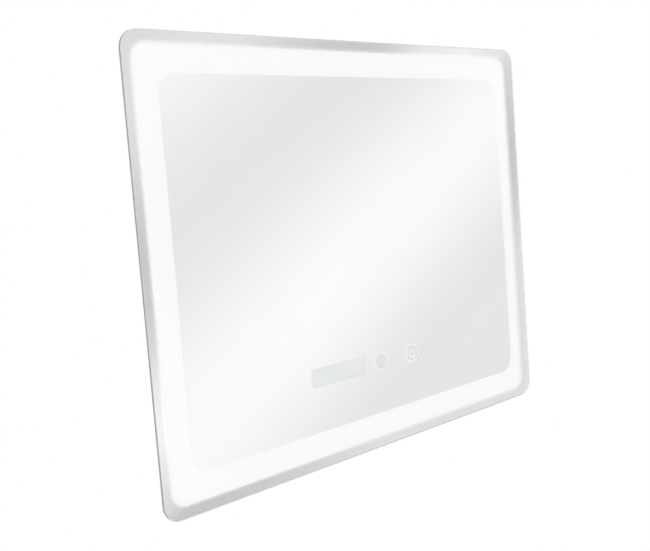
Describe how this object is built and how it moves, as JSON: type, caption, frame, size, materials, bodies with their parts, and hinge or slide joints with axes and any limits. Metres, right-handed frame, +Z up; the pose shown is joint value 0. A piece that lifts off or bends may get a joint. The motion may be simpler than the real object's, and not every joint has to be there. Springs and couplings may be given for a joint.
{
  "type": "lighted bathroom mirror",
  "caption": "Rectangular wall mirror with rounded corners, a lit frosted band near its edge, a clock window and touch switches, hung on a wall rail.",
  "frame": {"origin": "on the wall plane, at the middle of the wall rail's line of two screw slots", "axes": "+X to the right as seen from the front, +Y into the wall, +Z up; the mirror face looks along -Y"},
  "size_m": [0.8, 0.028, 0.6],
  "materials": {
    "clear_glass": "polished 4 mm float glass with bevelled edges",
    "silver": "silver coating, bright through the glass",
    "opal_sheet": "opal sheet, lit from behind",
    "icon_film": "printed translucent film",
    "light_guide": "milky light guide, lit",
    "clock_lens": "pale smoked lens",
    "white_moulding": "fine moulded grain",
    "digit_blocks": "moulded",
    "foam": "closed-cell foam",
    "led_chips": "phosphor chips",
    "panel_paint": "fine textured powder coat",
    "zinc_screws": "bright zinc plate",
    "rivets": "satin",
    "zinc_sheet": "zinc-plated sheet",
    "rubber": "matt black rubber",
    "box_moulding": "fine moulded grain",
    "terminal_moulding": "moulded",
    "case_sheet": "plain folded sheet",
    "components": "moulded cases of electrical parts",
    "heating_film": "amber film",
    "brass_stud": "machined",
    "frame_metal": "satin anodised extrusion",
    "corner_moulding": "fine moulded grain",
    "strip_board": "white solder mask",
    "green_board": "green solder mask",
    "wire_cover": "soft insulation"
  },
  "bodies": {
    "wall_bracket": {"wall_rail": "zinc_sheet"},
    "mirror": {"back_panel": "panel_paint", "backing_bar": "zinc_sheet", "board_standoffs": "white_moulding", "cable_grommet": "rubber", "clock_board": "green_board", "clock_digits": "digit_blocks", "clock_housing": "white_moulding", "clock_lens": "clock_lens", "clock_wire": "wire_cover", "control_board": "green_board", "control_components": "components", "defog_icon_film": "icon_film", "defog_light_guide": "light_guide", "defog_pad": "heating_film", "defog_sensor_board": "green_board", "defog_wire": "wire_cover", "diffuser_ring": "opal_sheet", "driver_board": "green_board", "driver_case": "case_sheet", "driver_components": "components", "driver_cover": "case_sheet", "driver_screws": "zinc_screws", "earth_nut": "brass_stud", "earth_stud": "brass_stud", "foam_blocks": "foam", "foam_tape": "foam", "frame_corner_bottom_left": "corner_moulding", "frame_corner_bottom_right": "corner_moulding", "frame_corner_top_left": "corner_moulding", "frame_corner_top_right": "corner_moulding", "frame_rail_bottom": "frame_metal", "frame_rail_left": "frame_metal", "frame_rail_right": "frame_metal", "frame_rail_top": "frame_metal", "hanger_rail": "zinc_sheet", "hanger_rivets": "rivets", "junction_box": "box_moulding", "junction_lid": "box_moulding", "led_chips": "led_chips", "led_strip_bottom": "strip_board", "led_strip_left": "strip_board", "led_strip_right": "strip_board", "led_strip_top": "strip_board", "lid_screws": "zinc_screws", "light_wire": "wire_cover", "low_voltage_wire": "wire_cover", "mirror_glass": "clear_glass", "panel_screws": "zinc_screws", "power_icon_film": "icon_film", "power_light_guide": "light_guide", "power_sensor_board": "green_board", "silver_centre": "silver", "silver_rim": "silver", "supply_wire": "wire_cover", "terminal_block": "terminal_moulding", "terminal_screws": "zinc_screws", "touch_wires": "wire_cover", "wall_bumpers": "rubber"}
  },
  "joints": [
    {"name": "lift_off", "type": "slide", "parent": "wall_bracket", "child": "mirror", "axis": [0, 0, 1], "range_m": [0, 0.0105]}
  ]
}
